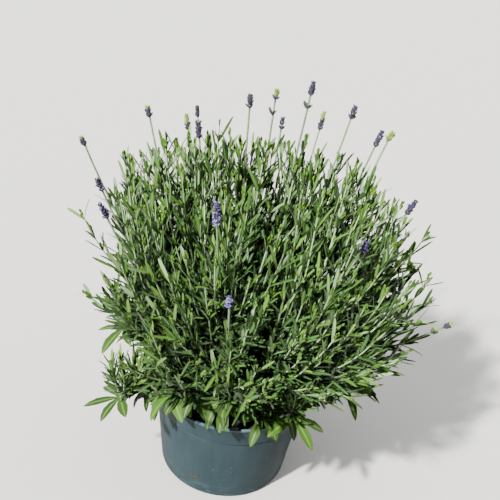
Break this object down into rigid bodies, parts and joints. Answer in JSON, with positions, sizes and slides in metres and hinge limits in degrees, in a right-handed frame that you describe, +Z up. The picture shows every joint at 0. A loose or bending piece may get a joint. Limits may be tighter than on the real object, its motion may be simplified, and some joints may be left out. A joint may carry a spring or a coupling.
{
  "type": "potted lavender",
  "caption": "Bushy lavender with narrow grey-green leaves and purple flower spikes on long stalks, growing in a round plastic nursery pot filled with potting soil.",
  "frame": {"origin": "middle of the pot's underside, on the surface it stands on", "axes": "+Z up along the pot's axis; -Y is the front, where the soil shows at the rim; +X to the right as seen from the front"},
  "size_m": [0.4329, 0.368, 0.5181],
  "materials": {
    "pot_plastic": "moulded blue-grey polypropylene, satin, scuffed and specked with soil",
    "soil": "moist dark peat and bark compost, loose grains",
    "woody_stem": "dry fibrous grey-brown bark",
    "leaf": "grey-green, matte with fine felt, young leaves yellow-green",
    "flower": "grey-purple felted calyces with violet petals"
  },
  "bodies": {
    "root": {"pot": "pot_plastic", "potting_soil": "soil", "woody_crown_1": "woody_stem", "woody_crown_2": "woody_stem", "woody_crown_3": "woody_stem", "flower_stalk_01": "leaf", "flower_stalk_02": "leaf", "flower_stalk_03": "leaf", "flower_stalk_04": "leaf", "flower_stalk_05": "leaf", "flower_stalk_06": "leaf", "flower_stalk_07": "leaf", "flower_stalk_08": "leaf", "flower_stalk_09": "leaf", "flower_stalk_10": "leaf", "flower_stalk_11": "leaf", "flower_stalk_12": "leaf", "flower_stalk_13": "leaf", "flower_stalk_14": "leaf", "flower_stalk_15": "leaf", "flower_stalk_16": "leaf", "flower_stalk_17": "leaf", "flower_stalk_18": "leaf", "flower_stalk_19": "leaf", "flower_stalk_20": "leaf", "flower_spike_01": "flower", "flower_spike_02": "flower", "flower_spike_03": "flower", "flower_spike_04": "flower", "flower_spike_05": "flower", "flower_spike_06": "flower", "flower_spike_07": "flower", "flower_spike_08": "flower", "flower_spike_09": "flower", "flower_spike_10": "flower", "flower_spike_11": "flower", "flower_spike_12": "flower", "flower_spike_13": "flower", "flower_spike_14": "flower", "flower_spike_15": "flower", "flower_spike_16": "flower", "flower_spike_17": "flower", "flower_spike_18": "flower", "flower_spike_19": "flower", "flower_spike_20": "flower", "basal_shoot_01": "leaf", "basal_shoot_02": "leaf", "basal_shoot_03": "leaf", "basal_shoot_04": "leaf", "basal_shoot_05": "leaf", "leafy_shoot_01": "leaf", "leafy_shoot_02": "leaf", "leafy_shoot_03": "leaf", "leafy_shoot_04": "leaf", "leafy_shoot_05": "leaf", "leafy_shoot_06": "leaf", "leafy_shoot_07": "leaf", "leafy_shoot_08": "leaf", "leafy_shoot_09": "leaf", "leafy_shoot_10": "leaf"}
  },
  "joints": []
}
